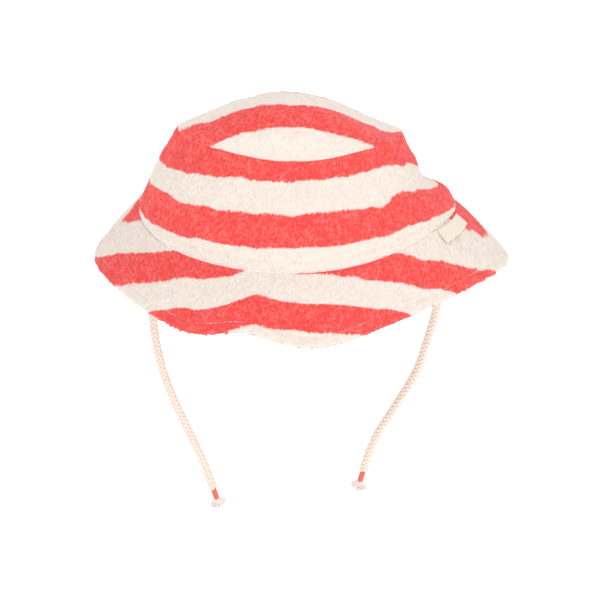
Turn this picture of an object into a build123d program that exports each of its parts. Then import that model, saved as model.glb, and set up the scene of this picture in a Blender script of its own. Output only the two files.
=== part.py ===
from build123d import *
import os
from math import atan2, cos, degrees, exp, hypot, radians, sin, sqrt, tan

# A child's striped terry bucket hat with two chin cords, size 54 (54 cm round the head).
# Millimetres. +Z is up, the front is towards -Y, and the origin is the middle of the head
# opening, level with the seam where the crown meets the brim. Angles run round the hat from
# +X counter-clockwise, so 270 is the front. Left and right are as seen from the front.

os.makedirs("parts", exist_ok=True)

# Head opening: the seam between crown and brim
opening_half_width = 90.0
opening_half_depth = 81.5
seam_lift = [(326, 6.5, 31), (38, -9.5, 21)]  # (angle, lift, spread in degrees)

# Top seam: where the crown's side meets its top
top_centre_x = -2.0
top_half_width = 63.0
top_half_depth_front = 48.0
top_half_depth_back = 46.0
top_height = 46.0
top_front_rise = 5.0
top_back_drop = 8.0
top_lift = [(225, 5.0, 28), (315, 5.0, 28)]

# Dome of the crown's top
dome_rise = 26.0
dome_forward = 0.5                       # how much fuller the front is than the back
dome_side_fall = 0.7                     # how much flatter it is towards the sides
dome_lean = -0.15                        # fuller on the -X side

# Brim: how far its edge lies outside and below the seam, and the waves in it
brim_reach = 24.0
brim_drop = 29.0
reach_waves = [(4, 8.5, 16), (180, 3.5, 16), (238, 2.5, 12), (272, 6.0, 16), (90, -5.0, 62)]
drop_waves = [(5, 7.5, 20), (205, -2.5, 14), (238, 2.0, 10), (256, -4.5, 10), (276, 2.5, 12),
              (308, -2.0, 20), (90, 5.0, 60)]

# Cloth
terry = 2.0
brim_terry = 1.5
lining = 0.5
band = 1.0
band_height = 24.0
ply_gap = 0.35
seam_gap = 0.4

# Stitch rows
stitch_width = 0.9
stitch_height = 0.4
crown_row_above_seam = 6.0
brim_row_from_edge = 6.0
band_row_from_top = 2.0

# Labels
side_label_angle = 339.5
side_label_length = 29.0
side_label_height = 8.5
side_label_thickness = 0.7
size_label_angle = 90.0
size_label_width = 20.0
size_label_height = 13.0
size_label_thickness = 0.5

# Chin cords
cord_diameter = 5.2
cord_angle_left = 201.5
cord_angle_right = 338.5
tab_width = 9.0
tab_height = 9.0
tab_thickness = 2.2
swing_gap = 0.4
sleeve_diameter = 3.2
sleeve_length = 7.0
tassel_diameter = 10.0
tassel_length = 6.6
# The routes below the swing point, down to the sleeve
left_route = [(-80.6, -27.5, -27.0), (-82.6, -28.0, -54.0), (-79.8, -28.2, -80.0), (-73.4, -28.0, -105.0),
              (-63.8, -27.5, -130.0), (-54.2, -27.2, -153.5), (-49.3, -27.0, -170.2)]
right_route = [(79.8, -27.8, -21.0), (80.4, -28.0, -47.0), (74.4, -28.2, -71.0), (68.8, -28.0, -92.5),
               (55.6, -27.6, -117.5), (43.4, -27.3, -139.5), (38.7, -27.0, -158.2)]


def bumps(angle, waves):
    total = 0.0
    for centre, height, spread in waves:
        away = (angle - centre + 180) % 360 - 180
        total += height * exp(-(away / spread) ** 2)
    return total


def seam_point(angle):
    a = radians(angle)
    return Vector(opening_half_width * cos(a), opening_half_depth * sin(a), bumps(angle, seam_lift))


def top_point(angle):
    a = radians(angle)
    front = sin(a) < 0
    depth = top_half_depth_front if front else top_half_depth_back
    slope = top_front_rise if front else -top_back_drop
    z = top_height + slope * sin(a) ** 2 + bumps(angle, top_lift)
    return Vector(top_centre_x + top_half_width * cos(a), depth * sin(a), z)


def outward(angle):
    a = radians(angle)
    return Vector(cos(a) / opening_half_width, sin(a) / opening_half_depth, 0).normalized()


def brim_edge(angle):
    """The brim's edge in the section plane: outwards and up from the seam."""
    return brim_reach + bumps(angle, reach_waves), -brim_drop - bumps(angle, drop_waves)


def upright_plane(origin, out):
    """A section plane standing on the seam, with x outwards and y up."""
    return Plane(origin=origin, x_dir=out, z_dir=out.cross(Vector(0, 0, 1)))


def crown_frame(angle):
    """Section plane through the seam and the top seam, and the top seam's place in it."""
    low, high = seam_point(angle), top_point(angle)
    lean = Vector(low.X - high.X, low.Y - high.Y, 0)
    return upright_plane(low, lean.normalized()), (-lean.length, high.Z - low.Z)


def brim_frame(angle):
    return upright_plane(seam_point(angle), outward(angle)), brim_edge(angle)


def strip(end, first, last, depth, thickness, bow):
    """One cut through a sheet of cloth: it runs along the line from the origin to end, from
    first to last millimetres, depth under the outer surface, bowed outwards in the middle."""
    length = hypot(end[0], end[1])
    ux, uy = end[0] / length, end[1] / length
    nx, ny = (uy, -ux) if ux < 0 else (-uy, ux)   # the side of the line that faces outside

    def at(along, under):
        rise = 4 * bow * along * (length - along) / length ** 2
        return ux * along + nx * (rise - under), uy * along + ny * (rise - under)

    middle = (first + last) / 2
    under = depth + thickness
    with BuildSketch() as cut:
        with BuildLine():
            ThreePointArc(at(first, depth), at(middle, depth), at(last, depth))
            Line(at(last, depth), at(last, under))
            ThreePointArc(at(last, under), at(middle, under), at(first, under))
            Line(at(first, under), at(first, depth))
        make_face()
    return cut.sketch


def spread_angles(start, stop, step=7.5):
    count = max(2, round((stop - start) / step))
    return [start + (stop - start) * k / count for k in range(count + 1)]


def write(part, name):
    part.label = name
    export_step(part, f"parts/{name}.step")


crown_bow = 1.6
brim_bow = 1.2
side_seam_gap = 0.15                     # degrees left open at each side seam
halves = [("front", 180 + side_seam_gap, 360 - side_seam_gap), ("back", side_seam_gap, 180 - side_seam_gap)]
lining_depth = terry + ply_gap
band_depth = lining_depth + lining + ply_gap
under_depth = brim_terry + ply_gap

# Crown's side, outside and lining: a front and a back panel each
for half, start, stop in halves:
    with BuildPart() as crown_side:
        for angle in spread_angles(start, stop):
            plane, end = crown_frame(angle)
            cut = strip(end, seam_gap, hypot(*end) - seam_gap, 0, terry, crown_bow)
            with BuildSketch(plane):
                add(cut)
        loft()
    write(crown_side.part, f"crown_side_{half}")

    with BuildPart() as crown_lining:
        for angle in spread_angles(start, stop):
            plane, end = crown_frame(angle)
            cut = strip(end, 2.5, hypot(*end) - 2.0, lining_depth, lining, crown_bow)
            with BuildSketch(plane):
                add(cut)
        loft()
    write(crown_lining.part, f"crown_lining_{half}")

    # Brim: an upper and an under layer, sewn together round the edge
    with BuildPart() as brim_upper:
        for angle in spread_angles(start, stop):
            plane, end = brim_frame(angle)
            cut = strip(end, seam_gap, hypot(*end), 0, brim_terry, brim_bow)
            with BuildSketch(plane):
                add(cut)
        loft()
    write(brim_upper.part, f"brim_upper_{half}")

    with BuildPart() as brim_under:
        for angle in spread_angles(start, stop):
            plane, end = brim_frame(angle)
            cut = strip(end, seam_gap, hypot(*end), under_depth, brim_terry, brim_bow)
            with BuildSketch(plane):
                add(cut)
        loft()
    write(brim_under.part, f"brim_under_{half}")

# Crown's top, outside and lining: a dome cut across from left to right
def dome_height(x, y, inset):
    depth = top_half_depth_front if y < 0 else top_half_depth_back
    u = (x - top_centre_x) / (top_half_width - inset)
    v = y / (depth - inset)
    rho, angle = min(1.0, hypot(u, v)), degrees(atan2(v, u))
    middle = top_height + (top_front_rise - top_back_drop) / 4
    sag = middle + (top_point(angle).Z - middle) * rho ** 2
    fullness = (1 - dome_forward * v) * (1 - dome_side_fall * u ** 2 + dome_lean * u)
    return sag + (dome_rise - inset) * sqrt(1 - rho ** 2) * fullness


def dome_line(x, inset):
    """Points over the dome from front to back at one x."""
    u = (x - top_centre_x) / (top_half_width - inset)
    points = []
    for lean in (-90, -72, -50, -25, 0, 25, 50, 72, 90):
        depth = top_half_depth_front if lean < 0 else top_half_depth_back
        y = (depth - inset) * sqrt(1 - u ** 2) * sin(radians(lean))
        points.append((y, dome_height(x, y, inset)))
    return points


def dome_cut(x, inset, thickness):
    outer, inner = dome_line(x, inset), dome_line(x, inset + thickness)
    with BuildSketch() as cut:
        with BuildLine():
            Spline(*outer)
            Line(outer[-1], inner[-1])
            Spline(*reversed(inner))
            Line(inner[0], outer[0])
        make_face()
    return cut.sketch


dome_cuts = 12
for name, inset, thickness in (("crown_top", 0.0, terry), ("crown_lining_top", lining_depth, lining)):
    with BuildPart() as crown_top:
        for k in range(dome_cuts + 1):
            reach = 0.965 * (top_half_width - inset - thickness)
            x = top_centre_x - reach * cos(radians(180 * k / dome_cuts))
            cut = dome_cut(x, inset, thickness)
            with BuildSketch(Plane(origin=(x, 0, 0), x_dir=(0, 1, 0), z_dir=(1, 0, 0))):
                add(cut)
        loft()
    write(crown_top.part, name)

# Sweatband, stitch rows: strips that run once round and meet at the centre back
back_joint = 0.2
once_round = spread_angles(-270 + back_joint, 90 - back_joint)
band_face = band_depth + band
stitch_lift = 0.25
round_strips = (
    ("sweatband", crown_frame, 0.8, band_height, band_depth, band, crown_bow),
    ("sweatband_stitches", crown_frame, band_height - band_row_from_top - stitch_width,
     band_height - band_row_from_top, band_face + stitch_lift, stitch_height, crown_bow),
    ("crown_base_stitches", crown_frame, crown_row_above_seam,
     crown_row_above_seam + stitch_width, -stitch_lift - stitch_height, stitch_height, crown_bow),
)
for name, frame, first, last, depth, thickness, bow in round_strips:
    with BuildPart() as round_strip:
        for angle in once_round:
            plane, end = frame(angle)
            cut = strip(end, first, last, depth, thickness, bow)
            with BuildSketch(plane):
                add(cut)
        loft()
    write(round_strip.part, name)

with BuildPart() as brim_edge_stitches:
    for angle in once_round:
        plane, end = brim_frame(angle)
        row = hypot(*end) - brim_row_from_edge
        cut = strip(end, row - stitch_width, row, -stitch_lift - stitch_height, stitch_height, brim_bow)
        with BuildSketch(plane):
            add(cut)
    loft()
write(brim_edge_stitches.part, "brim_edge_stitches")


# Labels and cord tabs: short strips centred on an angle
def short_span(centre, width):
    """Angles that cover the given width of the opening's seam."""
    a = radians(centre)
    per_degree = hypot(opening_half_width * sin(a), opening_half_depth * cos(a)) * radians(1)
    half = width / 2 / per_degree
    return spread_angles(centre - half, centre + half, 3.0)


label_lift = 0.5
label_root = 1.0
label_span = short_span(side_label_angle, side_label_length)
with BuildPart() as side_label:
    for angle in label_span:
        plane, end = brim_frame(angle)
        cut = strip(end, label_root, label_root + side_label_height,
                    -label_lift - side_label_thickness, side_label_thickness, brim_bow)
        with BuildSketch(plane):
            add(cut)
    loft()
write(side_label.part, "side_label")

with BuildPart() as size_label:
    for angle in short_span(size_label_angle, size_label_width):
        plane, end = crown_frame(angle)
        cut = strip(end, 4.0, 4.0 + size_label_height, band_face + ply_gap, size_label_thickness, crown_bow)
        with BuildSketch(plane):
            add(cut)
    loft()
write(size_label.part, "size_label")

# Chin cords: a tab sewn to the sweatband holds each one
tab_root = 2.5
tab_depth = band_face + ply_gap
cord_radius = cord_diameter / 2


def cord_top(angle):
    """The middle of the cord's rounded top, just under its tab."""
    plane, end = crown_frame(angle)
    length = hypot(*end)
    ux, uy = end[0] / length, end[1] / length
    under = tab_depth + tab_thickness / 2
    drop = (cord_radius + swing_gap) / uy
    return plane.from_local_coords(Vector(ux * tab_root - uy * under, uy * tab_root + ux * under - drop, 0))


def fillet_radii(points):
    """Each bend as wide as its two runs allow."""
    radii = []
    for before, corner, after in zip(points, points[1:], points[2:]):
        turn = (corner - before).get_angle(after - corner)
        run = min((corner - before).length, (after - corner).length)
        radii.append(0.45 * run / tan(radians(turn) / 2))
    return radii


for side, angle, route in (("left", cord_angle_left, left_route), ("right", cord_angle_right, right_route)):
    with BuildPart() as cord_tab:
        for station in short_span(angle, tab_width):
            plane, end = crown_frame(station)
            cut = strip(end, tab_root, tab_root + tab_height, tab_depth, tab_thickness, crown_bow)
            with BuildSketch(plane):
                add(cut)
        loft()
    write(cord_tab.part, f"cord_tab_{side}")

    top = cord_top(angle)
    points = [top] + [Vector(*p) for p in route]
    radii = fillet_radii(points)
    with BuildPart() as chin_cord:
        with BuildLine() as path:
            FilletPolyline(*points, radius=radii)
        with BuildSketch(Plane(origin=top, z_dir=path.wire() % 0)):
            Circle(cord_radius)
        sweep()
        with Locations(top):
            Sphere(cord_radius)
    write(chin_cord.part, f"chin_cord_{side}")
    cord_length = path.wire().length
    print(side, "top", top, "length", round(cord_length, 1), "radii", [round(r) for r in radii])
    print(side, "volume", round(chin_cord.part.volume), "from length", round(cord_length * cord_radius ** 2 * 3.14159))

    downwards = (points[-1] - points[-2]).normalized()
    with BuildPart() as cord_sleeve:
        with BuildSketch(Plane(origin=points[-1], z_dir=downwards)):
            Circle(sleeve_diameter / 2)
        extrude(amount=sleeve_length)
    write(cord_sleeve.part, f"cord_sleeve_{side}")

    tassel_rings = ((0.0, sleeve_diameter / 2), (0.45, 0.42 * tassel_diameter), (1.0, tassel_diameter / 2))
    with BuildPart() as cord_tassel:
        for share, radius in tassel_rings:
            start = points[-1] + downwards * (sleeve_length + share * tassel_length)
            with BuildSketch(Plane(origin=start, z_dir=downwards)):
                Circle(radius)
        loft()
    write(cord_tassel.part, f"cord_tassel_{side}")

# Where the side label is sewn down, for its joint
for angle in (label_span[0], label_span[-1]):
    plane, end = brim_frame(angle)
    length = hypot(*end)
    ux, uy = end[0] / length, end[1] / length
    up = label_lift + side_label_thickness / 2
    corner = plane.from_local_coords(Vector(ux * label_root - uy * up, uy * label_root + ux * up, 0))
    print("label corner", corner)
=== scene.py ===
import math

import bpy
import numpy as np
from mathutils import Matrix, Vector


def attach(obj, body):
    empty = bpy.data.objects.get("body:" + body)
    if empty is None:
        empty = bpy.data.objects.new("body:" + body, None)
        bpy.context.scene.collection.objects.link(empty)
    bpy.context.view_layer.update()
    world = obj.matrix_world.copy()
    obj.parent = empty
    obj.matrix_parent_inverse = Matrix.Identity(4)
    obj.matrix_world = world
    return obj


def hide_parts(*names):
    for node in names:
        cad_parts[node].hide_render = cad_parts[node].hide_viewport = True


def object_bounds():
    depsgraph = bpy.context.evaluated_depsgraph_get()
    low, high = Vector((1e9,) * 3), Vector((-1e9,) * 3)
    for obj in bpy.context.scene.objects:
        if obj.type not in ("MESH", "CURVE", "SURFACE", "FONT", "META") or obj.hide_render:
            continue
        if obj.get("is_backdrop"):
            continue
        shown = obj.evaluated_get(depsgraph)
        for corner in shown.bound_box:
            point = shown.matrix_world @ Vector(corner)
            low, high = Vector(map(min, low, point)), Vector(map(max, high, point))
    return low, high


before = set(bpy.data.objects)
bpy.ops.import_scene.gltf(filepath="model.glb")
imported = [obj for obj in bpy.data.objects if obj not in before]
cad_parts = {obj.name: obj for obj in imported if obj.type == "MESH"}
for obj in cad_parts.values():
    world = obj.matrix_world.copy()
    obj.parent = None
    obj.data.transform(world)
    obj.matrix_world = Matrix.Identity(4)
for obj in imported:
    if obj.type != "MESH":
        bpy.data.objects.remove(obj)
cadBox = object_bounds()
mm = 0.001  # the dictionaries are in millimetres and degrees, the meshes in metres

# camera, lights and sky

studio = {
    "aim": (1.7, -24.9, -46.8), "elevation": 28.0, "distance": 2000.0, "viewWidth": 342.0, "sensor": 36.0,
    "clip": (0.05, 50.0), "skyColour": (1.0, 0.99, 0.985), "skyStrength": 0.645,
}
lamps = {
    "key": {"at": (-900, -1100, 1500), "size": 1300, "power": 12.6},
    "fill": {"at": (1300, -900, 700), "size": 1500, "power": 8.5},
    "back": {"at": (200, 1500, 1300), "size": 1200, "power": 7.0},
}


def aimAt(thing, place, target):
    thing.location = Vector(place) * mm
    thing.rotation_euler = (Vector(target) - Vector(place)).to_track_quat("-Z", "Y").to_euler()


def setStudio():
    scene = bpy.context.scene
    scene.view_settings.view_transform = "Standard"  # keeps the dyes as mixed
    lean = math.radians(studio["elevation"])
    aim = Vector(studio["aim"])
    eye = aim + Vector((0, -math.cos(lean), math.sin(lean))) * studio["distance"]
    camera = bpy.data.objects.new("camera", bpy.data.cameras.new("camera"))
    camera.data.sensor_width = studio["sensor"]
    camera.data.lens = studio["sensor"] * studio["distance"] / studio["viewWidth"]
    camera.data.clip_start, camera.data.clip_end = studio["clip"]
    aimAt(camera, eye, aim)
    scene.collection.objects.link(camera)
    scene.camera = camera
    for name, lamp in lamps.items():
        light = bpy.data.objects.new(name, bpy.data.lights.new(name, "AREA"))
        light.data.size = lamp["size"] * mm
        light.data.energy = lamp["power"]
        aimAt(light, lamp["at"], (0, 0, 0))
        scene.collection.objects.link(light)
    world = bpy.data.worlds.new("studioSky")
    world.use_nodes = True
    sky = world.node_tree.nodes["Background"]
    sky.inputs["Color"].default_value = (*studio["skyColour"], 1)
    sky.inputs["Strength"].default_value = studio["skyStrength"]
    scene.world = world
    print("studio set")


class Wire:
    # one output of a shader node, for use in sums
    def __init__(self, maker, socket):
        self.maker, self.socket = maker, socket

    def sum(self, operation, first, second):
        return self.maker.node("ShaderNodeMath", {"operation": operation}, {0: first, 1: second})

    def __add__(self, other):
        return self.sum("ADD", self, other)

    def __sub__(self, other):
        return self.sum("SUBTRACT", self, other)

    def __rsub__(self, other):
        return self.sum("SUBTRACT", other, self)

    def __mul__(self, other):
        return self.sum("MULTIPLY", self, other)

    def __truediv__(self, other):
        return self.sum("DIVIDE", self, other)

    def __mod__(self, other):
        return self.sum("FLOORED_MODULO", self, other)

    def __abs__(self):
        return self.sum("ABSOLUTE", self, 0.0)

    __radd__ = __add__
    __rmul__ = __mul__


class Finish:
    # a material, its surface shader and the nodes that feed it
    def __init__(self, name, **surface):
        self.material = bpy.data.materials.new(name)
        self.material.use_nodes = True
        self.tree = self.material.node_tree
        self.surface = self.tree.nodes["Principled BSDF"]
        for socket, value in surface.items():
            self.surface.inputs[socket.replace("_", " ")].default_value = value

    def node(self, kind, settings, inputs, out=0):
        made = self.tree.nodes.new(kind)
        for name, value in settings.items():
            setattr(made, name, value)
        for name, value in inputs.items():
            if isinstance(value, Wire):
                self.tree.links.new(value.socket, made.inputs[name])
            elif isinstance(value, tuple) and made.inputs[name].type == "RGBA":
                made.inputs[name].default_value = (*value, 1)
            else:
                made.inputs[name].default_value = value
        return Wire(self, made.outputs[out])

    def cloth(self):
        # the flat cloth's own two directions, in millimetres
        uv = self.node("ShaderNodeUVMap", {"uv_map": "cloth"}, {})
        return [self.node("ShaderNodeSeparateXYZ", {}, {0: uv}, axis) for axis in (0, 1)]

    def pile(self):
        return self.node("ShaderNodeAttribute", {"attribute_name": "pile"}, {}, 2)

    def noise(self, u, v, grain, detail=1.0):
        place = self.node("ShaderNodeCombineXYZ", {}, {0: u / grain[0], 1: v / grain[1]})
        settings = {"noise_dimensions": "2D"}
        return self.node("ShaderNodeTexNoise", settings, {"Vector": place, "Scale": 1.0, "Detail": detail})

    def ramp(self, value, start, stop, low=0.0, high=1.0):
        return self.node("ShaderNodeMapRange", {"clamp": True}, {0: value, 1: start, 2: stop, 3: low, 4: high})

    def mix(self, share, first, second):
        return self.node("ShaderNodeMix", {"data_type": "RGBA"}, {0: share, 6: first, 7: second}, 2)

    def feed(self, socket, wire):
        self.tree.links.new(wire.socket, self.surface.inputs[socket])

    def bump(self, height, distance, strength=1.0):
        normal = self.node("ShaderNodeBump", {}, {"Height": height, "Distance": distance * mm, "Strength": strength})
        self.feed("Normal", normal)


terryLook = {  # a grain is a noise's size across and along the loops
    "roughness": 0.95, "sheen": 0.12, "sheenRoughness": 0.6,
    "stripe": 19.0, "stripeSoft": 0.22, "jag": 1.5, "jagGrain": (0.55, 2.6), "wander": 2.6, "wanderGrain": (16, 70),
    # the Gap colours are painted shade down between the loops, the Tip colours painted highlight on the loop tips
    "coral": (0.93, 0.100, 0.091), "coralHighlightTip": (0.96, 0.155, 0.142), "coralShadedGap": (0.88, 0.060, 0.055),
    "cream": (0.88, 0.785, 0.705), "creamHighlightTip": (0.905, 0.815, 0.74), "creamShadedGap": (0.855, 0.75, 0.668),
    "hairGrain": (0.42, 1.1), "tuftGrain": (0.62, 0.95), "mottleGrain": (9, 11),
    "tuftShare": 0.75, "hairShare": 0.35, "pileShare": 0.16, "mottleShare": 0.35, "tipRange": (0.52, 0.96),
    "coralTipRange": (0.45, 1.0), "creamRange": (0.0, 0.62), "creamTipRange": (0.6, 1.0),
    "blushColour": (0.90, 0.40, 0.36), "blushRange": (0.1, 1.5, 0.5, 0.0), "blushHairs": (0.42, 0.62),
    "darkLoop": (0.30, 0.10, 0.12), "darkRange": (0.9, 0.2), "darkGrain": (0.4, 1.5), "darkSpots": (0.63, 0.72, 0.0, 0.6),
    "tuftBump": 0.6, "hairBump": 0.4, "bumpDepth": 0.5, "bumpStrength": 0.6,
}


def makeTerry():
    look = terryLook
    terry = Finish("stripedTerry", Roughness=look["roughness"], Sheen_Weight=look["sheen"],
                   Sheen_Roughness=look["sheenRoughness"])
    u, v = terry.cloth()
    jag = terry.noise(u, v, look["jagGrain"])
    wander = terry.noise(u, v, look["wanderGrain"], 2.0)
    edge = v + (jag - 0.5) * (2 * look["jag"]) + (wander - 0.5) * (2 * look["wander"])
    width = look["stripe"]
    beyond = abs(edge % (2 * width) - width / 2) - width / 2  # below 0 on coral, above 0 on cream
    isCoral = terry.ramp(beyond, look["stripeSoft"], -look["stripeSoft"])
    hairs = terry.noise(u, v, look["hairGrain"])
    tuft = terry.noise(u, v, look["tuftGrain"], 2.0)
    mottle = terry.noise(u, v, look["mottleGrain"], 3.0)
    # the colour follows the loops' height and a random mottle: painted shade in the gaps between loops, painted
    # highlight on their tips, and tone that varies at random
    height = tuft * look["tuftShare"] + hairs * look["hairShare"]
    tip = terry.ramp(height + terry.pile() * look["pileShare"] + mottle * look["mottleShare"], *look["tipRange"])
    coral = terry.mix(tip, look["coralShadedGap"], look["coral"])
    coral = terry.mix(terry.ramp(tip, *look["coralTipRange"]), coral, look["coralHighlightTip"])
    cream = terry.mix(terry.ramp(tip, *look["creamRange"]), look["creamShadedGap"], look["cream"])
    cream = terry.mix(terry.ramp(tip, *look["creamTipRange"]), cream, look["creamHighlightTip"])
    nearCoral = terry.ramp(beyond, *look["blushRange"]) * terry.ramp(hairs, *look["blushHairs"])
    cream = terry.mix(nearCoral, cream, look["blushColour"])
    colour = terry.mix(isCoral, cream, coral)
    spots = terry.ramp(terry.noise(u, v, look["darkGrain"]), *look["darkSpots"])
    dark = terry.ramp(abs(beyond), *look["darkRange"]) * spots
    terry.feed("Base Color", terry.mix(dark, colour, look["darkLoop"]))
    terry.bump(tuft * look["tuftBump"] + hairs * look["hairBump"], look["bumpDepth"], look["bumpStrength"])
    return terry.material


wovenLook = {"roughness": 0.85, "sheen": 0.1, "wobble": 0.5, "wobbleGrain": (3, 3), "rib": 0.8, "yarnRange": (0.05, 0.6)}
wovenCloths = {
    # gap is the painted shade between the yarns, yarn the cloth's own colour
    "cottonLining": {"yarn": (0.86, 0.82, 0.76), "gap": (0.72, 0.67, 0.60), "pitch": 0.55, "depth": 0.12},
    "bandTwill": {"yarn": (0.86, 0.80, 0.71), "gap": (0.66, 0.59, 0.50), "pitch": 0.9, "depth": 0.2, "twill": True},
    "wovenLabel": {"yarn": (0.93, 0.855, 0.745), "gap": (0.84, 0.75, 0.64), "pitch": 0.32, "depth": 0.05},
}


def makeWoven(name, yarn, gap, pitch, depth, twill=False):
    look = wovenLook
    woven = Finish(name, Roughness=look["roughness"], Sheen_Weight=look["sheen"])
    u, v = woven.cloth()
    wobble = woven.noise(u, v, look["wobbleGrain"], 2.0) * (look["wobble"] * pitch)
    across = abs((u + wobble + (v if twill else 0.0)) % pitch - pitch / 2) * (2 / pitch)
    along = abs((v + wobble) % pitch - pitch / 2) * (2 / pitch)
    height = across * look["rib"] + along * (1 - look["rib"]) if twill else across * along
    # painted shade: where the weave is low, between the yarns, the colour goes to the darker gap colour
    woven.feed("Base Color", woven.mix(woven.ramp(height, *look["yarnRange"]), gap, yarn))
    woven.bump(height, depth)
    return woven.material


yarnLook = {
    "roughness": 0.8, "sheen": 0.15, "detail": 3.0, "lightRange": (0.3, 0.65),
    "crestGrain": 0.25, "crestRange": (0.35, 0.85, 0.0, 0.75),
}
yarns = {
    "sewingThread": {"deep": (0.72, 0.64, 0.55), "light": (0.88, 0.82, 0.73), "grain": 0.12, "depth": 0.04},
    # cordCotton's deep colour is also painted shade on the strands' flanks
    "cordCotton": {"deep": (0.76, 0.63, 0.53), "light": (0.90, 0.805, 0.71), "grain": 0.25, "depth": 0.06, "shadedFlanks": True},
    "tasselCotton": {"deep": (0.96, 0.88, 0.84), "light": (0.99, 0.95, 0.93), "grain": 0.3, "depth": 0.03},
    "coralWhipping": {"deep": (0.80, 0.12, 0.09), "light": (0.93, 0.24, 0.19), "grain": 0.2, "depth": 0.03},
}


def makeYarn(name, deep, light, grain, depth, shadedFlanks=False):
    look = yarnLook
    yarn = Finish(name, Roughness=look["roughness"], Sheen_Weight=look["sheen"])
    place = yarn.node("ShaderNodeTexCoord", {}, {}, "Object")
    inputs = {"Vector": place, "Scale": 1 / (grain * mm), "Detail": look["detail"]}
    fibres = yarn.node("ShaderNodeTexNoise", {}, inputs)
    shade = yarn.ramp(fibres, *look["lightRange"])
    if shadedFlanks:  # painted shade: the sides of a strand, down between its neighbours, are darker
        shade = shade * look["crestGrain"] + yarn.ramp(yarn.pile(), *look["crestRange"])
    yarn.feed("Base Color", yarn.mix(shade, deep, light))
    yarn.bump(fibres, depth)
    return yarn.material


# the hat's shape, by the same rules as the CAD
# a wave or bump is its middle angle, its height and its spread; 270 degrees is the front

hat = {
    "openingWidth": 90.0, "openingDepth": 81.5, "seamLift": [(326, 6.5, 31), (38, -9.5, 21)],
    "topX": -2.0, "topWidth": 63.0, "topDepthFront": 48.0, "topDepthBack": 46.0, "topHeight": 46.0,
    "frontRise": 5.0, "backDrop": 8.0,
    "topLift": [(225, 5.0, 28), (315, 5.0, 28), (186, 5.0, 17), (38, -3.5, 24)],
    "topSpread": [(190, 2.4, 24), (352, -1.5, 22)],
    "domeRise": 26.0, "domeForward": 0.5, "domeSideFall": 0.86, "domeLean": -0.19,
    "reach": 24.0, "drop": 29.0,
    "reachWaves": [(4, 9.0, 16), (345, 1.5, 12), (180, 3.5, 16), (158, -3.0, 14), (238, 2.5, 12), (272, 6.0, 16),
                   (90, -5.0, 62)],
    "dropWaves": [(5, 6.2, 20), (205, -2.5, 14), (238, 2.0, 10), (256, -4.5, 10), (276, 2.5, 12), (308, -2.0, 20),
                  (90, 5.0, 60)],
    "terry": 2.0, "brimTerry": 1.5, "lining": 0.5, "band": 1.0, "bandHeight": 24.0, "plyGap": 0.35,
    "crownBow": 1.6, "brimBow": 1.2, "crownRow": 6.0, "brimRow": 6.0, "bandRow": 2.0,
}
liningDepth = hat["terry"] + hat["plyGap"]
bandDepth = liningDepth + hat["lining"] + hat["plyGap"]
bandFace = bandDepth + hat["band"]


def bumps(angle, waves):
    total = np.zeros_like(angle, dtype=float)
    for middle, height, spread in waves:
        away = (angle - middle + 180) % 360 - 180
        total += height * np.exp(-(away / spread) ** 2)
    return total


def seamPoint(angle):
    a = np.radians(angle)
    return np.stack([hat["openingWidth"] * np.cos(a), hat["openingDepth"] * np.sin(a), bumps(angle, hat["seamLift"])], -1)


def topHeightAt(angle):
    rise = np.where(np.sin(np.radians(angle)) < 0, hat["frontRise"], -hat["backDrop"])
    return hat["topHeight"] + rise * np.sin(np.radians(angle)) ** 2 + bumps(angle, hat["topLift"])


def topPoint(angle):
    a = np.radians(angle)
    depth = np.where(np.sin(a) < 0, hat["topDepthFront"], hat["topDepthBack"])
    width = hat["topWidth"] + bumps(angle, hat["topSpread"])
    return np.stack([hat["topX"] + width * np.cos(a), depth * np.sin(a), topHeightAt(angle)], -1)


def sectionOf(part, angle):
    # where a cut through the hat starts, which way it faces, and where it ends
    low = seamPoint(angle)
    if part == "crown":
        high = topPoint(angle)
        lean = low - high
        lean[..., 2] = 0
        reach = np.linalg.norm(lean, axis=-1)
        return low, lean / reach[..., None], np.stack([-reach, high[..., 2] - low[..., 2]], -1)
    a = np.radians(angle)
    out = np.stack([np.cos(a) / hat["openingWidth"], np.sin(a) / hat["openingDepth"], np.zeros_like(a)], -1)
    end = np.stack([hat["reach"] + bumps(angle, hat["reachWaves"]), -hat["drop"] - bumps(angle, hat["dropWaves"])], -1)
    return low, out / np.linalg.norm(out, axis=-1)[..., None], end


def sectionLength(part, angle):
    return np.linalg.norm(sectionOf(part, angle)[2], axis=-1)


def onSection(part, angle, along, under):
    # the point that is so far along the cut from the seam and so deep under the cloth's face
    low, out, end = sectionOf(part, angle)
    length = np.linalg.norm(end, axis=-1)
    run = end / length[..., None]
    bow = hat["crownBow"] if part == "crown" else hat["brimBow"]
    face = np.stack([run[..., 1], -run[..., 0]], -1) * np.where(run[..., :1] < 0, 1, -1)
    lift = 4 * bow * along * (length - along) / length ** 2 - under
    across = run[..., 0] * along + face[..., 0] * lift
    up = run[..., 1] * along + face[..., 1] * lift
    place = low + out * across[..., None]
    place[..., 2] += up
    return place


# flat cloth: how far each angle is from the front centre, measured on the seam
fineAngles = np.linspace(0, 360, 1441)
seamArc = np.concatenate([[0], np.cumsum(np.linalg.norm(np.diff(seamPoint(fineAngles), axis=0), axis=1))])


def arcFromCentre(angle):
    wrapped = np.where(angle == 360, 360.0, angle % 360)
    return np.interp(wrapped, fineAngles, seamArc) - np.interp(270.0, fineAngles, seamArc)


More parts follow.
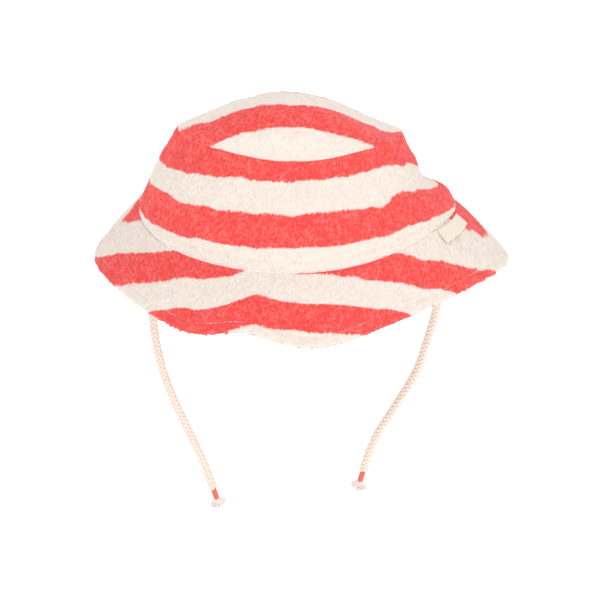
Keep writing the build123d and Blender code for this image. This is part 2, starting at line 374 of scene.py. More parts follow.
pattern = {  # where the stripes run: the wall's rise towards the sides, the brim's level lines, the top's lines
    "wallRise": 7.1, "wallStretch": 1.015, "wallFlare": 0.095, "wallStart": 13.4, "wallTaper": 400.0,
    "wallWaves": [(308, 3.0, 8), (323, -2.4, 9), (201, -4.6, 12)], "wavesAt": 19.0, "wavesWide": 13.0,
    "slowFrom": 49.0, "slowTo": 0.3, "backShift": 310.0,
    "brimRadius": 121.0, "brimStart": 49.3, "brimTilt": -0.026, "brimCurve": -0.00226, "brimBack": -0.37,
    "brimFall": -1.25, "brimWaves": [(257, 5.0, 7), (243, -2.0, 8), (200, 1.5, 14)],
    "seamWaves": [(350, 5.5, 16), (338, 5.0, 8)], "seamReach": 27.0,
    "topStart": 19.0, "topCurve": 0.000105, "topTilt": -0.0008, "upperTilt": -0.0011, "topStretch": 0.98,
    "farPull": 0.31, "farTilt": -0.0035, "farMost": 0.4,
}


def clothOf(part, angle, along):
    # the back half's stripes mirror the front's, so that they meet at the side seams
    behind = angle % 360 < 180
    mirrored = np.where(behind, 360 - angle % 360, angle)
    arc = arcFromCentre(mirrored)
    share = (arc / 100) ** 2
    shift = np.where(behind, pattern["backShift"], 0)
    if part == "crown":
        v = along * (pattern["wallStretch"] + pattern["wallFlare"] * share)
        v = v + pattern["wallRise"] * share - pattern["wallStart"]
        slow = pattern["slowFrom"]  # the last coral stripe is stretched up to the top seam
        v = np.where(v > slow, slow + pattern["slowTo"] * (v - slow), v)
        kept = np.clip(1 - abs(v - pattern["wavesAt"]) / pattern["wavesWide"], 0, 1)
        u = arc * (1 - along / pattern["wallTaper"]) + shift
        return np.stack([u, v + kept * bumps(mirrored, pattern["wallWaves"])], -1)
    x, y, z = np.moveaxis(onSection(part, mirrored + 0 * along, along, 0 * along), -1, 0)
    v = pattern["brimTilt"] * x + pattern["brimCurve"] * x ** 2 + pattern["brimBack"] * y + pattern["brimFall"] * z
    v = v - pattern["brimStart"] + bumps(mirrored, pattern["brimWaves"])
    v = v + bumps(mirrored, pattern["seamWaves"]) * np.clip(1 - along / pattern["seamReach"], 0, 1)
    return np.stack([arc * (1 + along / pattern["brimRadius"]) + shift, v], -1)


# terry pile: one seeded patch of tufts, repeated over the cloth

pileLook = {
    "seed": 11, "patch": 512, "cell": 0.3, "tuftAcross": 1.0, "tuftAlong": 1.5, "tuftLimit": 2.2, "height": 0.22,
    "lumps": 9.0, "lumpHeight": 0.16, "groove": 0.5, "grooveWidth": 0.9, "fringe": 0.45, "fringeWidth": 1.6,
}


def softened(field, across, along):
    size = field.shape[0]
    rows, columns = np.fft.fftfreq(size)[:, None], np.fft.fftfreq(size)[None, :]
    shape = np.exp(-2 * np.pi ** 2 * ((rows * along) ** 2 + (columns * across) ** 2))
    soft = np.fft.ifft2(np.fft.fft2(field) * shape).real
    return (soft - soft.mean()) / soft.std()


pileRandom = np.random.default_rng(pileLook["seed"])
tufts = softened(pileRandom.random((pileLook["patch"],) * 2), pileLook["tuftAcross"], pileLook["tuftAlong"])
lumps = softened(pileRandom.random((pileLook["patch"],) * 2), pileLook["lumps"], pileLook["lumps"])


def readPatch(field, u, v):
    size = field.shape[0]
    x, y = u / pileLook["cell"], v / pileLook["cell"]
    i, j = np.floor(x).astype(int), np.floor(y).astype(int)
    restX, restY = x - i, y - j
    corner = lambda across, up: field[(j + up) % size, (i + across) % size]
    low = corner(0, 0) * (1 - restX) + corner(1, 0) * restX
    high = corner(0, 1) * (1 - restX) + corner(1, 1) * restX
    return low * (1 - restY) + high * restY


def pileAt(cloth):
    u, v = cloth[..., 0], cloth[..., 1]
    tuft = np.clip(readPatch(tufts, u, v), -pileLook["tuftLimit"], pileLook["tuftLimit"])
    return tuft, pileLook["height"] * tuft + pileLook["lumpHeight"] * readPatch(lumps, u, v)


folds = [  # low creases and swells in the crown: angle, share of the height, their two spreads, height
    (16, 0.5, 40, 0.19, -8.2), (32, 0.30, 20, 0.15, -5.5), (4, 0.82, 30, 0.16, -3.0), (356, 0.18, 24, 0.12, 1.4),
    (316, 0.50, 8, 0.14, -1.6), (309, 0.30, 7, 0.16, -1.4), (322, 0.28, 10, 0.14, 1.4),
    (188, 0.28, 10, 0.08, -1.6), (205, 0.62, 14, 0.2, 0.9), (240, 0.55, 12, 0.22, -0.7), (286, 0.6, 13, 0.24, 0.6),
    (262, 0.3, 10, 0.2, 0.5), (60, 0.5, 16, 0.25, 1.0), (95, 0.4, 14, 0.2, -1.1), (130, 0.6, 16, 0.25, 0.9),
]


def foldAt(part, angle, along):
    total = np.zeros(np.broadcast(angle, along).shape)
    if part != "crown":
        return total
    share = along / sectionLength("crown", angle)
    for middle, level, wide, tall, height in folds:
        away = (angle - middle + 180) % 360 - 180
        total = total + height * np.exp(-(away / wide) ** 2 - ((share - level) / tall) ** 2)
    return total


def makeMesh(name, places, faces, cloth=None, bake=None, pile=None):
    # faces are lists of corners; cloth is per point, bake per corner
    mesh = bpy.data.meshes.new(name)
    mesh.from_pydata((places.reshape(-1, 3) * mm).tolist(), [], faces)
    corners = np.empty(len(mesh.loops), dtype=np.int32)
    mesh.loops.foreach_get("vertex_index", corners)
    if cloth is not None:
        layer = mesh.uv_layers.new(name="cloth")
        layer.data.foreach_set("uv", cloth.reshape(-1, 2)[corners].astype(np.float32).ravel())
    if bake is not None:
        layer = mesh.uv_layers.new(name="OFBake")
        layer.data.foreach_set("uv", bake.astype(np.float32).ravel())
    if pile is not None:
        mesh.attributes.new("pile", "FLOAT", "POINT").data.foreach_set("value", pile.astype(np.float32).ravel())
    mesh.polygons.foreach_set("use_smooth", [True] * len(mesh.polygons))
    mesh.update()
    piece = bpy.data.objects.new(name, mesh)
    bpy.context.scene.collection.objects.link(piece)
    return piece


def volumeOf(places, quads):
    a, b, c, d = (places.reshape(-1, 3)[quads[:, k]] for k in range(4))
    return float((np.cross(a, b) * c).sum() + (np.cross(a, c) * d).sum())


# how the bake's square is shared out: a ring's long faces and its two ends, then a dome's three sides
ringRoom = {"sides": 0.93, "endStarts": (0.02, 0.52), "endWidth": 0.2, "endAt": 0.965, "endHeight": 0.02}
domeRoom = {"top": (0.92, 0.69), "under": (0.6, 0.29), "underAt": (0.0, 0.705), "wall": (0.94, 0.99)}


def loopMesh(name, rings, cloth, closed, pile):
    # rings[n, m]: m points round a cut through the cloth, n cuts along it
    n, m = rings.shape[:2]
    i, j = np.meshgrid(np.arange(n if closed else n - 1), np.arange(m), indexing="ij")
    i, j = i.ravel(), j.ravel()
    across, up = (i + 1) % n, (j + 1) % m
    quads = np.stack([i * m + j, across * m + j, across * m + up, i * m + up], 1)
    x0, x1, y0, y1 = i / n, (i + 1) / n, ringRoom["sides"] * j / m, ringRoom["sides"] * (j + 1) / m
    bake = np.stack([x0, y0, x1, y0, x1, y1, x0, y1], 1).reshape(-1, 4, 2)
    turned = volumeOf(rings, quads) < 0
    if turned:
        quads, bake = quads[:, ::-1], bake[:, ::-1]
    faces, bake = quads.tolist(), bake.reshape(-1, 2)
    if not closed:
        turn = np.arange(m)
        for end, start in zip((turn[::-1], (n - 1) * m + turn), ringRoom["endStarts"]):
            end = end[::-1] if turned else end
            faces.append(end.tolist())
            share = 2 * np.pi * ((end % m) / m)
            endX = start + ringRoom["endWidth"] * (1 - np.cos(share))
            endY = ringRoom["endAt"] + ringRoom["endHeight"] * np.sin(share)
            bake = np.concatenate([bake, np.stack([endX, endY], 1)])
    return makeMesh(name, rings, faces, cloth, bake, pile)


backInset = 0.024  # keeps the back's first and last rows off the rounded edges, as a share of a row


def sheetRing(name, part, span, first, last, face, back, columns, rowStep, backRows=8, roundStart=0.0, roundEnd=0.0,
              furry=False, groove=None, curl=0.0):
    # a strip of cloth sewn round the hat: face is its good side's depth, back its other side's
    # first, last and groove take the whole length of a cut and give a distance from the seam
    angles = np.linspace(span[0], span[1], columns)[:, None]
    closed = span[1] - span[0] == 360
    angles = angles[:-1] if closed else angles
    length = sectionLength(part, angles)
    firstAt, lastAt = first(length) + 0 * length, last(length) + 0 * length
    rows = max(3, int(float((lastAt - firstAt).mean()) / rowStep))
    share = np.linspace(0, 1, rows) if furry else 0.5 - 0.5 * np.cos(np.linspace(0, math.pi, rows))
    along = firstAt + (lastAt - firstAt) * share[None, :]
    outwards = 1.0 if face < back else -1.0
    under = np.full(along.shape, float(face))
    for radius, gap in ((roundStart, along - firstAt), (roundEnd, lastAt - along)):
        if radius:
            short = np.clip(radius - gap, 0, radius)
            under += outwards * (radius - np.sqrt(radius ** 2 - short ** 2))
    cloth = clothOf(part, angles + 0 * along, along)
    tuft = np.zeros(along.shape)
    if furry:
        tuft, height = pileAt(cloth)
        if groove:
            height = height - pileLook["groove"] * np.exp(-((along - groove(length)) / pileLook["grooveWidth"]) ** 2)
        under = under - outwards * height
        if part == "brim":
            along = along + pileLook["fringe"] * tuft * np.clip(1 - (lastAt - along) / pileLook["fringeWidth"], 0, 1)
    under = under - curl * share[None, :] ** 2
    backShare = np.linspace(1, 0, backRows)[None, :]
    inset = backInset * (lastAt - firstAt) / backRows
    backAlong = np.clip(firstAt + (lastAt - firstAt) * backShare, firstAt + inset, lastAt - inset)
    allAlong = np.concatenate([along, backAlong], 1)
    allUnder = np.concatenate([under, float(back) - curl * backShare ** 2 + 0 * backAlong], 1)
    allCloth = np.concatenate([cloth, clothOf(part, angles + 0 * backAlong, backAlong)], 1)
    allTuft = np.concatenate([tuft, np.zeros(backAlong.shape)], 1)
    allUnder = allUnder - foldAt(part, angles, allAlong)
    rings = onSection(part, angles + 0 * allAlong, allAlong, allUnder)
    return loopMesh(name, rings, allCloth, closed, allTuft)


def domePlace(x, y, inset):
    depth = np.where(y < 0, hat["topDepthFront"], hat["topDepthBack"]) - inset
    rho = np.clip(np.hypot(x, y), 0, 1)
    heading = np.degrees(np.arctan2(y, x))
    middle = hat["topHeight"] + (hat["frontRise"] - hat["backDrop"]) / 4
    sag = middle + (topHeightAt(heading) - middle) * rho ** 2
    fullness = (1 - hat["domeForward"] * y) * (1 - hat["domeSideFall"] * x ** 2 + hat["domeLean"] * x)
    z = sag + (hat["domeRise"] - inset) * np.sqrt(np.clip(1 - rho ** 2, 0, 1)) * fullness
    width = hat["topWidth"] - inset + bumps(heading, hat["topSpread"]) * rho
    return np.stack([hat["topX"] + width * x, depth * y, z], -1)


domeCloth = {"cells": 200, "liningCells": 64, "raySteps": 30, "rim": 0.04, "rimPile": 0.4}


def flatOf(x, y):
    # the top's flat cloth: distances are measured over the dome, from its middle outwards
    rays = [domePlace(x * np.sin(t * math.pi / 2), y * np.sin(t * math.pi / 2), 0.0)
            for t in np.linspace(0, 1, domeCloth["raySteps"])]
    gone = np.linalg.norm(np.diff(np.stack(rays), axis=0), axis=-1).sum(0)
    place = domePlace(x, y, 0.0)
    heading = np.arctan2(place[..., 1], place[..., 0] - hat["topX"])
    u, v = gone * np.cos(heading), gone * np.sin(heading)
    v = (v - v.min()) * (pattern["topStretch"] * (1 + pattern["topTilt"] * u) / (1 + pattern["topCurve"] * u ** 2))
    v = v * (1 + pattern["upperTilt"] * u * np.clip(v / pattern["topStart"] - 1, 0, 1))
    behind = np.clip(v - 2 * pattern["topStart"], 0, None)
    pull = np.clip(pattern["farPull"] + pattern["farTilt"] * u, 0, pattern["farMost"])
    return np.stack([u, v - (pattern["topStart"] + behind * pull)], -1)


def domeSheet(name, inset, thickness, cells, furry):
    # a round sheet drawn on a square grid, so that no pole shows
    side = np.linspace(-1, 1, cells + 1)
    gridX, gridY = np.meshgrid(side, side, indexing="ij")
    x, y = gridX * np.sqrt(1 - gridY ** 2 / 2), gridY * np.sqrt(1 - gridX ** 2 / 2)
    radius = np.clip(np.hypot(x, y), 1e-9, 1)
    grow = np.sin(radius * math.pi / 2) / radius
    x, y = x * grow, y * grow
    flat = flatOf(x, y)
    tuft, height = pileAt(flat) if furry else (np.zeros(x.shape), np.zeros(x.shape))
    rim = np.clip((1 - radius) / domeCloth["rim"], 0, 1)
    outer = domePlace(x, y, inset - height * (domeCloth["rimPile"] + (1 - domeCloth["rimPile"]) * rim))
    inner = domePlace(x, y, inset + thickness)
    count = (cells + 1) ** 2
    index = np.arange(count).reshape(cells + 1, cells + 1)
    a, b, c, d = index[:-1, :-1].ravel(), index[1:, :-1].ravel(), index[1:, 1:].ravel(), index[:-1, 1:].ravel()
    top, under = np.stack([a, b, c, d], 1), np.stack([d, c, b, a], 1)
    edge = np.concatenate([index[:, 0], index[-1, 1:], index[-2::-1, -1], index[0, -2:0:-1]])
    after = np.roll(edge, -1)
    wall = np.stack([after, edge, edge + count, after + count], 1)
    square = np.stack([gridX, gridY], -1).reshape(-1, 2) * 0.5 + 0.5
    topUv = square[top] * domeRoom["top"]
    underUv = square[under] * domeRoom["under"] + domeRoom["underAt"]
    here = np.arange(len(edge)) / len(edge)
    later = here + 1 / len(edge)
    near, far = (np.full(len(edge), room) for room in domeRoom["wall"])
    wallUv = np.stack([np.stack(pair, 1) for pair in ((near, later), (near, here), (far, here), (far, later))], 1)
    places = np.concatenate([outer.reshape(-1, 3), inner.reshape(-1, 3)])
    cloth = np.concatenate([flat.reshape(-1, 2)] * 2)
    faces = np.concatenate([top, under + count, wall])
    bake = np.concatenate([topUv, underUv, wallUv]).reshape(-1, 2)
    pile = np.concatenate([tuft.ravel(), 0 * tuft.ravel()])
    return makeMesh(name, places, faces.tolist(), cloth, bake, pile)


def finishPiece(piece, material, body, node):
    piece.data.materials.clear()
    piece.data.materials.append(material)
    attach(piece, body)
    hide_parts(node)
    return piece


terry = makeTerry()
lining, twill, labelCloth = (makeWoven(name, **look) for name, look in wovenCloths.items())
thread, cordYarn, tasselYarn, whipping = (makeYarn(name, **look) for name, look in yarns.items())
print("materials mixed")

setStudio()

cords = {
    "diameter": 5.2, "step": 0.4, "filling": 1.75, "fillingSides": 16, "sewnDown": 1.6, "sewnWidth": 0.02,
    "strands": 4, "pitch": 11.4, "core": 1.86, "weave": 0.33, "strandWide": 1.02, "strandThick": 0.48, "strandSides": 7,
    "sleeveLength": 7.2, "sleeveWidth": 3.4, "turns": 17, "turnSteps": 16, "threadWidth": 0.42, "threadSides": 6,
    "coreFrom": 0.6, "coreOver": 0.2, "coreStep": 0.8, "tailRadius": 0.16,
    "tail": [(1.2, 0, 0), (2.0, 0.3, 0), (3.6, 0, 0.2)],  # the thread's loose end: out, sideways, down
    "tasselLength": 7.4, "tasselWidth": 10.4, "fibres": 620, "fibreWidth": 0.62, "fibreSeed": 9,
}
cordRoutes = {  # metres: the swing point, then the route down to the sleeve
    "left": [(-0.0783, -0.02698, -0.00385), (-0.0806, -0.0275, -0.027), (-0.0828, -0.028, -0.054),
             (-0.0800, -0.0282, -0.080), (-0.0735, -0.028, -0.105), (-0.0636, -0.0275, -0.130),
             (-0.0541, -0.0272, -0.1535), (-0.0493, -0.027, -0.1702)],
    "right": [(0.0782, -0.02736, 0.00077), (0.0800, -0.0278, -0.021), (0.0807, -0.028, -0.047),
              (0.0747, -0.0282, -0.071), (0.0690, -0.028, -0.0925), (0.0554, -0.0276, -0.1175),
              (0.0432, -0.0273, -0.1395), (0.0387, -0.027, -0.1582)],
}


def routeLine(points):
    curve = bpy.data.curves.new("route", "CURVE")
    curve.dimensions = "3D"
    curve.resolution_u = 24
    spline = curve.splines.new("NURBS")
    spline.points.add(len(points) - 1)
    for knot, place in zip(spline.points, points):
        knot.co = (*place, 1)
    spline.order_u = 3
    spline.use_endpoint_u = True
    route = bpy.data.objects.new("route", curve)
    line = bpy.data.meshes.new_from_object(route)
    places = np.array([point.co for point in line.vertices])
    bpy.data.objects.remove(route)
    return places


def goneAlong(places):
    return np.concatenate([[0], np.cumsum(np.linalg.norm(np.diff(places, axis=0), axis=1))])


def evenly(places, step):
    gone = goneAlong(places)
    at = np.linspace(0, gone[-1], max(2, round(gone[-1] / step)))
    return np.stack([np.interp(at, gone, places[:, k]) for k in range(3)], 1)


def framesAlong(places):
    # a direction, and two sides that don't twist, at each point
    ahead = np.gradient(places, axis=0)
    ahead /= np.linalg.norm(ahead, axis=1)[:, None]
    side = np.empty_like(ahead)
    side[0] = np.cross(ahead[0], (0, 1, 0))
    for k in range(1, len(places)):
        side[k] = side[k - 1] - ahead[k] * side[k - 1].dot(ahead[k])
    side /= np.linalg.norm(side, axis=1)[:, None]
    return ahead, side, np.cross(ahead, side)


def tubeRings(places, wide, thick, corners, outward=None):
    # rings round a path: wide across, thick along outward; both may change on the way
    ahead, side, other = framesAlong(places)
    if outward is not None:
        other = outward - ahead * (outward * ahead).sum(1)[:, None]
        other /= np.linalg.norm(other, axis=1)[:, None]
        side = np.cross(other, ahead)
    turn = np.linspace(0, 2 * math.pi, corners, endpoint=False)[None, :, None]
    wide, thick = (np.broadcast_to(size, len(places))[:, None, None] for size in (wide, thick))
    return places[:, None] + side[:, None] * np.cos(turn) * wide + other[:, None] * np.sin(turn) * thick


def joinRings(name, tubes):
    # many closed tubes in one mesh
    places, faces, crests, start = [], [], [], 0
    for rings in tubes:
        n, m = rings.shape[:2]
        i, j = np.meshgrid(np.arange(n - 1), np.arange(m), indexing="ij")
        i, j = i.ravel(), j.ravel()
        up = (j + 1) % m
        quads = np.stack([i * m + j, i * m + up, (i + 1) * m + up, (i + 1) * m + j], 1)
        turn = list(range(m))
        ends = [turn[::-1], [(n - 1) * m + k for k in turn]]
        if volumeOf(rings, quads) < 0:
            quads, ends = quads[:, ::-1], [end[::-1] for end in ends]
        faces += (quads + start).tolist() + [[k + start for k in end] for end in ends]
        places.append(rings.reshape(-1, 3))
        # each ring's sine round it, kept as the pile attribute; cordCotton reads it for painted shade on the strands'
        # flanks
        crests.append(np.tile(np.sin(np.linspace(0, 2 * math.pi, m, endpoint=False)), n))
        start += n * m
    return makeMesh(name, np.concatenate(places), faces, pile=np.concatenate(crests))


def braidTubes(line):
    # two sets of strands wind opposite ways round a filling, each over one and under the next
    side, other = framesAlong(line)[1:]
    gone = goneAlong(line)
    close = np.clip(gone / cords["sewnDown"], cords["sewnWidth"], 1) ** 0.5  # drawn in where it is sewn down
    tubes = [tubeRings(line, cords["filling"] * close, cords["filling"] * close, cords["fillingSides"])]
    turn = 2 * math.pi * gone / cords["pitch"]
    wide, thick = cords["strandWide"] * close, cords["strandThick"] * close
    for way in (1, -1):
        for strand in range(cords["strands"]):
            around = way * turn + 2 * math.pi * strand / cords["strands"]
            out = side * np.cos(around)[:, None] + other * np.sin(around)[:, None]
            lift = cords["core"] + way * cords["weave"] * np.cos(cords["strands"] * turn)
            tubes.append(tubeRings(line + out * (lift * close)[:, None], wide, thick, cords["strandSides"], out))
    return tubes


def addNode(tree, kind, settings=None, links=None):
    made = tree.nodes.new(kind)
    for key, value in (settings or {}).items():
        setattr(made, key, value)
    for key, value in (links or {}).items():
        if isinstance(value, bpy.types.NodeSocket):
            tree.links.new(value, made.inputs[key])
        else:
            made.inputs[key].default_value = value
    return made.outputs


def newTree(name, **sizes):
    # a tree with named inputs; its sockets are found again by their identifiers
    tree = bpy.data.node_groups.new(name, "GeometryNodeTree")
    tree.is_modifier = True
    sockets = {}
    for title, kind in sizes.items():
        socket = tree.interface.new_socket(title, in_out="INPUT", socket_type=f"NodeSocket{kind}")
        sockets[title] = socket.identifier
    tree.interface.new_socket("Geometry", in_out="OUTPUT", socket_type="NodeSocketGeometry")
    return tree, sockets, tree.nodes.new("NodeGroupInput").outputs, lambda *parts: addNode(tree, *parts)


def closeTree(tree, add, geometry, material):
    real = add("GeometryNodeRealizeInstances", None, {0: geometry})
    dyed = add("GeometryNodeSetMaterial", None, {"Geometry": real[0], "Material": material})
    tree.links.new(dyed[0], tree.nodes.new("NodeGroupOutput").inputs[0])


fibreBurst = {
    "bend": (0.25, 0, -0.75), "tip": (1, 0, -1), "bendSteps": 5, "sides": 4, "spread": 0.6, "domeFall": -0.55,
    "shortest": 0.86, "longest": 1.04, "turnSeed": 3, "lengthSeed": 5,
}


def fibreTree():
    # a burst of bent fibres from one point, longest down the middle
    tree, sockets, given, add = newTree("fibreBurst", Fibres="Int", Reach="Float", Length="Float", Width="Float",
                                        Seat="Vector", Lean="Vector", Seed="Int", Yarn="Material")
    look = fibreBurst
    maths = lambda operation, *values: add("ShaderNodeMath", {"operation": operation}, dict(enumerate(values)))[0]
    chance = lambda low, high, seed: add("FunctionNodeRandomValue", {"data_type": "FLOAT"},
                                         {"Min": low, "Max": high, "Seed": seed})[1]
    points = add("GeometryNodePoints", None, {"Count": given["Fibres"]})
    stem = add("GeometryNodeCurveQuadraticBezier", None,
               {"Resolution": look["bendSteps"], "Start": (0, 0, 0), "Middle": look["bend"], "End": look["tip"]})
    circle = add("GeometryNodeCurvePrimitiveCircle", None, {"Resolution": look["sides"], "Radius": given["Width"]})
    root = maths("POWER", chance(0.0, 1.0, given["Seed"]), look["spread"])
    around = chance(0.0, 2 * math.pi, look["turnSeed"])
    across = maths("MULTIPLY", root, given["Reach"])
    dome = maths("MULTIPLY_ADD", maths("MULTIPLY", root, root), look["domeFall"], 1.0)
    short = chance(look["shortest"], look["longest"], look["lengthSeed"])
    deep = maths("MULTIPLY", maths("MULTIPLY", dome, given["Length"]), short)
    size = add("ShaderNodeCombineXYZ", None, {0: across, 1: across, 2: deep})[0]
    spin = add("ShaderNodeCombineXYZ", None, {2: around})[0]
    burst = add("GeometryNodeInstanceOnPoints", None,
                {"Points": points[0], "Instance": stem["Curve"], "Rotation": spin, "Scale": size})
    curves = add("GeometryNodeRealizeInstances", None, {0: burst[0]})
    tubes = add("GeometryNodeCurveToMesh", None, {"Curve": curves[0], "Profile Curve": circle[0], "Fill Caps": True})
    placed = add("GeometryNodeTransform", None,
                 {"Geometry": tubes[0], "Translation": given["Seat"], "Rotation": given["Lean"]})
    closeTree(tree, add, placed[0], given["Yarn"])
    return tree, sockets


def grown(name, tree, sockets, base=None, **values):
    # runs a node tree once and keeps its result as a plain mesh
    source = base or bpy.data.objects.new("source", bpy.data.meshes.new("source"))
    if base is None:
        bpy.context.scene.collection.objects.link(source)
    growth = source.modifiers.new("growth", "NODES")
    growth.node_group = tree
    for key, value in values.items():
        growth[sockets[key]] = value
    graph = bpy.context.evaluated_depsgraph_get()
    mesh = bpy.data.meshes.new_from_object(source.evaluated_get(graph), depsgraph=graph)
    bpy.data.objects.remove(source)
    mesh.name = name
    piece = bpy.data.objects.new(name, mesh)
    bpy.context.scene.collection.objects.link(piece)
    return piece


def whippingTubes(end, side, other, down):
    # coral thread wound round the cord's end, over a core, with its own end left loose
    turn = np.linspace(0, 2 * math.pi * cords["turns"], cords["turns"] * cords["turnSteps"])
    share = np.linspace(0, 1, len(turn))
    radius, threadRadius = (cords["sleeveWidth"] - cords["threadWidth"]) / 2, cords["threadWidth"] / 2
    coil = (end + down * (share * cords["sleeveLength"])[:, None]
            + side * (radius * np.cos(turn))[:, None] + other * (radius * np.sin(turn))[:, None])
    coreEnds = np.stack([end - down * cords["coreFrom"], end + down * (cords["sleeveLength"] + cords["coreOver"])])
    core = evenly(coreEnds, cords["coreStep"])
    tailPoints = np.stack([end + side * out + other * round + down * fall for out, round, fall in cords["tail"]])
    tail = evenly(tailPoints, cords["step"])
    return [tubeRings(coil, threadRadius, threadRadius, cords["threadSides"]),
            tubeRings(core, radius, radius, cords["fillingSides"]),
            tubeRings(tail, cords["tailRadius"], cords["tailRadius"], cords["threadSides"])]


burstTree, burstSockets = fibreTree()
for hand, route in cordRoutes.items():
    body = f"chin_cord_{hand}"
    line = routeLine(route)
    even = evenly(line / mm, cords["step"])
    cord = joinRings(f"chinCord_{hand}", braidTubes(even))
    finishPiece(cord, cordYarn, body, f"chin_cord_{hand}")
    ahead, side, other = framesAlong(even)
    end, down = even[-1], ahead[-1]
    sleeve = joinRings(f"cordSleeve_{hand}", whippingTubes(end, side[-1], other[-1], down))
    finishPiece(sleeve, whipping, body, f"cord_sleeve_{hand}")
    lean = Vector(-down).to_track_quat("Z", "Y").to_euler()
    seat = Vector(end + down * cords["sleeveLength"]) * mm
    tassel = grown(f"cordTassel_{hand}", burstTree, burstSockets, Fibres=cords["fibres"],
                   Reach=cords["tasselWidth"] / 2 * mm, Length=cords["tasselLength"] * mm,
                   Width=cords["fibreWidth"] / 2 * mm, Seat=seat[:], Lean=lean[:], Seed=cords["fibreSeed"], Yarn=tasselYarn)
    finishPiece(tassel, tasselYarn, body, f"cord_tassel_{hand}")

crownCloth = {"columns": 520, "rowStep": 0.52, "start": 0.05, "over": 0.3, "seam": 0.2}
liningCloth = {"columns": 180, "rowStep": 3.0, "start": 2.5, "short": 0.2}
brimCloth = {"columns": 560, "rowStep": 0.55, "start": 0.1, "underStart": 0.4, "seam": 0.3, "edge": 1.5}
bandCloth = {"columns": 361, "rowStep": 1.0, "start": 0.8, "backRows": 4}

crownTop = domeSheet("crownTop", 0.0, hat["terry"], domeCloth["cells"], True)
finishPiece(crownTop, terry, "hat", "crown_top")
liningTop = domeSheet("crownLiningTop", liningDepth, hat["lining"], domeCloth["liningCells"], False)
finishPiece(liningTop, lining, "hat", "crown_lining_top")
sheets = [crownTop, liningTop]
underFace = 2 * hat["brimTerry"] + hat["plyGap"]
for half, span in (("Front", (180, 360)), ("Back", (0, 180))):
    node = half.lower()
    side = sheetRing(f"crownSide{half}", "crown", span, lambda whole: crownCloth["start"],
                     lambda whole: whole + crownCloth["over"], 0.0, hat["terry"], crownCloth["columns"],
                     crownCloth["rowStep"], roundStart=crownCloth["seam"], roundEnd=crownCloth["seam"], furry=True,
                     groove=lambda whole: hat["crownRow"])
    finishPiece(side, terry, "hat", f"crown_side_{node}")
    inner = sheetRing(f"crownLining{half}", "crown", span, lambda whole: liningCloth["start"],
                      lambda whole: whole - liningCloth["short"], liningDepth, liningDepth + hat["lining"],
                      liningCloth["columns"], liningCloth["rowStep"])
    finishPiece(inner, lining, "hat", f"crown_lining_{node}")
    upper = sheetRing(f"brimUpper{half}", "brim", span, lambda whole: brimCloth["start"], lambda whole: whole, 0.0,
                      hat["brimTerry"], brimCloth["columns"], brimCloth["rowStep"], roundStart=brimCloth["seam"],
                      roundEnd=brimCloth["edge"], furry=True, groove=lambda whole: whole - hat["brimRow"])
    finishPiece(upper, terry, "hat", f"brim_upper_{node}")
    under = sheetRing(f"brimUnder{half}", "brim", span, lambda whole: brimCloth["underStart"], lambda whole: whole,
                      underFace, underFace - hat["brimTerry"], brimCloth["columns"], brimCloth["rowStep"],
                      roundEnd=brimCloth["edge"], furry=True)
    finishPiece(under, terry, "hat", f"brim_under_{node}")
    sheets += [side, inner, upper, under]
print("terry and lining made")

sweatband = sheetRing("innerBand", "crown", (0, 360), lambda whole: bandCloth["start"], lambda whole: hat["bandHeight"],
                      bandFace, bandDepth, bandCloth["columns"], bandCloth["rowStep"], bandCloth["backRows"])
finishPiece(sweatband, twill, "hat", "sweatband")
sheets.append(sweatband)


def stitchTree():
    # thread lying along a line in short stitches, each turned to face out of the cloth
    tree, sockets, given, add = newTree("stitchRow", Line="Geometry", Pitch="Float", Length="Float", Width="Float",
                                        Thread="Material")
    curve = add("GeometryNodeMeshToCurve", None, {"Mesh": given["Line"]})
    spaced = add("GeometryNodeResampleCurve", {"mode": "LENGTH"}, {"Curve": curve[0], "Length": given["Pitch"]})
    along = add("GeometryNodeInputTangent")
    facing = add("GeometryNodeInputNamedAttribute", {"data_type": "FLOAT_VECTOR"}, {"Name": "facing"})
    first = add("FunctionNodeAlignRotationToVector", {"axis": "X"}, {"Vector": along[0]})
    turned = add("FunctionNodeAlignRotationToVector", {"axis": "Z", "pivot_axis": "X"},
                 {"Rotation": first[0], "Vector": facing[0]})
    bead = add("GeometryNodeMeshUVSphere", None, {"Segments": 8, "Rings": 5, "Radius": 0.5})
    size = add("ShaderNodeCombineXYZ", None, {0: given["Length"], 1: given["Width"], 2: given["Width"]})
    laid = add("GeometryNodeInstanceOnPoints", None,
               {"Points": spaced[0], "Instance": bead[0], "Rotation": turned[0], "Scale": size[0]})
    closeTree(tree, add, laid[0], given["Thread"])
    return tree, sockets


stitches = {"pitch": 2.9, "length": 2.5, "width": 0.42, "sunk": 0.66, "proud": 0.1, "linePoints": 720}
rowTree, rowSockets = stitchTree()


def stitchRow(name, part, alongAt, under, node):
    count = stitches["linePoints"]
    angles = np.linspace(0, 360, count + 1)[:-1]
    length = sectionLength(part, angles)
    along = alongAt(length) + 0 * length
    depth = under - foldAt(part, angles[:, None], along[:, None])[:, 0]
    places = onSection(part, angles, along, depth)
    facing = onSection(part, angles, along, depth - 1) - places
    mesh = bpy.data.meshes.new("line")
    mesh.from_pydata((places * mm).tolist(), [(k, (k + 1) % count) for k in range(count)], [])
    mesh.attributes.new("facing", "FLOAT_VECTOR", "POINT").data.foreach_set("vector", facing.astype(np.float32).ravel())
    line = bpy.data.objects.new("line", mesh)
    bpy.context.scene.collection.objects.link(line)
    row = grown(name, rowTree, rowSockets, line, Pitch=stitches["pitch"] * mm, Length=stitches["length"] * mm,
                Width=stitches["width"] * mm, Thread=thread)
    finishPiece(row, thread, "hat", node)


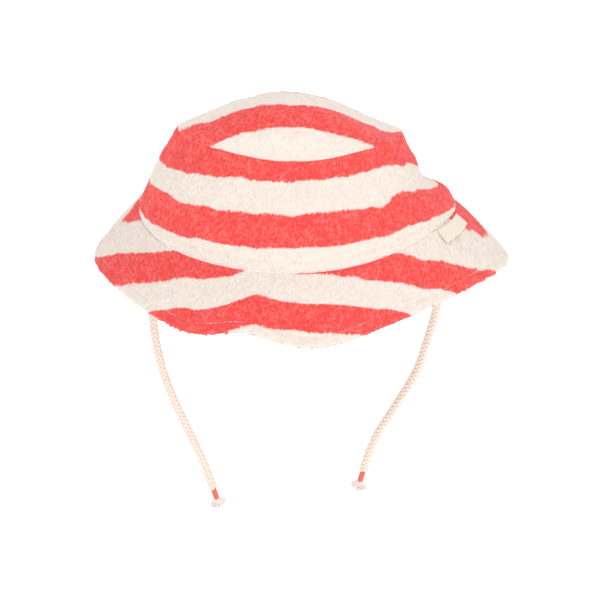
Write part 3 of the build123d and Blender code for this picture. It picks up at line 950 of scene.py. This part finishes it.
stitchRow("crownBaseStitches", "crown", lambda whole: hat["crownRow"], stitches["sunk"], "crown_base_stitches")
stitchRow("brimEdgeStitches", "brim", lambda whole: whole - hat["brimRow"], stitches["sunk"], "brim_edge_stitches")
stitchRow("sweatbandStitches", "crown", lambda whole: hat["bandHeight"] - hat["bandRow"], bandFace + stitches["proud"],
          "sweatband_stitches")
print("stitches laid")

labels = {
    "side": {"angle": 339.5, "length": 29.5, "height": 8.6, "thickness": 0.6, "root": 1.2, "lift": 0.5, "curl": 0.5,
             "columns": 70, "rowStep": 0.5, "backRows": 12, "edges": (0.2, 0.35)},
    "size": {"angle": 90.0, "length": 20.0, "height": 13.0, "thickness": 0.5, "root": 4.0,
             "columns": 50, "rowStep": 0.6, "backRows": 10, "edges": (0.2, 0.2)},
    "tab": {"left": 201.5, "right": 338.5, "length": 9.0, "height": 9.0, "thickness": 2.2, "root": 2.5,
            "columns": 24, "rowStep": 0.5, "backRows": 8, "edges": (0.9, 0.9)},
}


def spanAt(angle, width):
    a = math.radians(angle)
    perRadian = math.hypot(hat["openingWidth"] * math.sin(a), hat["openingDepth"] * math.cos(a))
    half = width / 2 / (perRadian * math.radians(1))
    return angle - half, angle + half


def smallCloth(name, part, look, angle, face, back, curl=0.0):
    # a label or tab, sewn on from its root upwards
    return sheetRing(name, part, spanAt(angle, look["length"]), lambda whole: look["root"],
                     lambda whole: look["root"] + look["height"], face, back, look["columns"], look["rowStep"],
                     look["backRows"], *look["edges"], curl=curl)


tag, patch, loop = labels["side"], labels["size"], labels["tab"]
insideFace = bandFace + hat["plyGap"]
sideLabel = smallCloth("sideLabel", "brim", tag, tag["angle"], -tag["lift"] - tag["thickness"], -tag["lift"], tag["curl"])
finishPiece(sideLabel, labelCloth, "side_label", "side_label")
sizeLabel = smallCloth("sizeLabel", "crown", patch, patch["angle"], insideFace + patch["thickness"], insideFace)
finishPiece(sizeLabel, labelCloth, "hat", "size_label")
for hand in ("left", "right"):
    tab = smallCloth(f"cordTab_{hand}", "crown", loop, loop[hand], insideFace + loop["thickness"], insideFace)
    finishPiece(tab, twill, "hat", f"cord_tab_{hand}")
sheets += [sideLabel, sizeLabel]
print("labels and tabs made")

paperFloor = {"drop": 430.0, "size": 60000.0, "colour": (1.0, 1.0, 1.0), "glow": 0.45, "roughness": 0.9}
half, drop = paperFloor["size"] * mm / 2, -paperFloor["drop"] * mm
floorMesh = bpy.data.meshes.new("floor")
floorCorners = [(-half, -half, drop), (half, -half, drop), (half, half, drop), (-half, half, drop)]
floorMesh.from_pydata(floorCorners, [], [(0, 1, 2, 3)])
floor = bpy.data.objects.new("floor", floorMesh)
bpy.context.scene.collection.objects.link(floor)
paper = Finish("floorPaper", Roughness=paperFloor["roughness"])
paper.surface.inputs["Base Color"].default_value = (*paperFloor["colour"], 1)
paper.surface.inputs["Emission Color"].default_value = (*paperFloor["colour"], 1)
paper.surface.inputs["Emission Strength"].default_value = paperFloor["glow"]
floorMesh.materials.append(paper.material)
floor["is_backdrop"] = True

{"cad": [list(corner) for corner in cadBox], "visual": [list(corner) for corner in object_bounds()]}
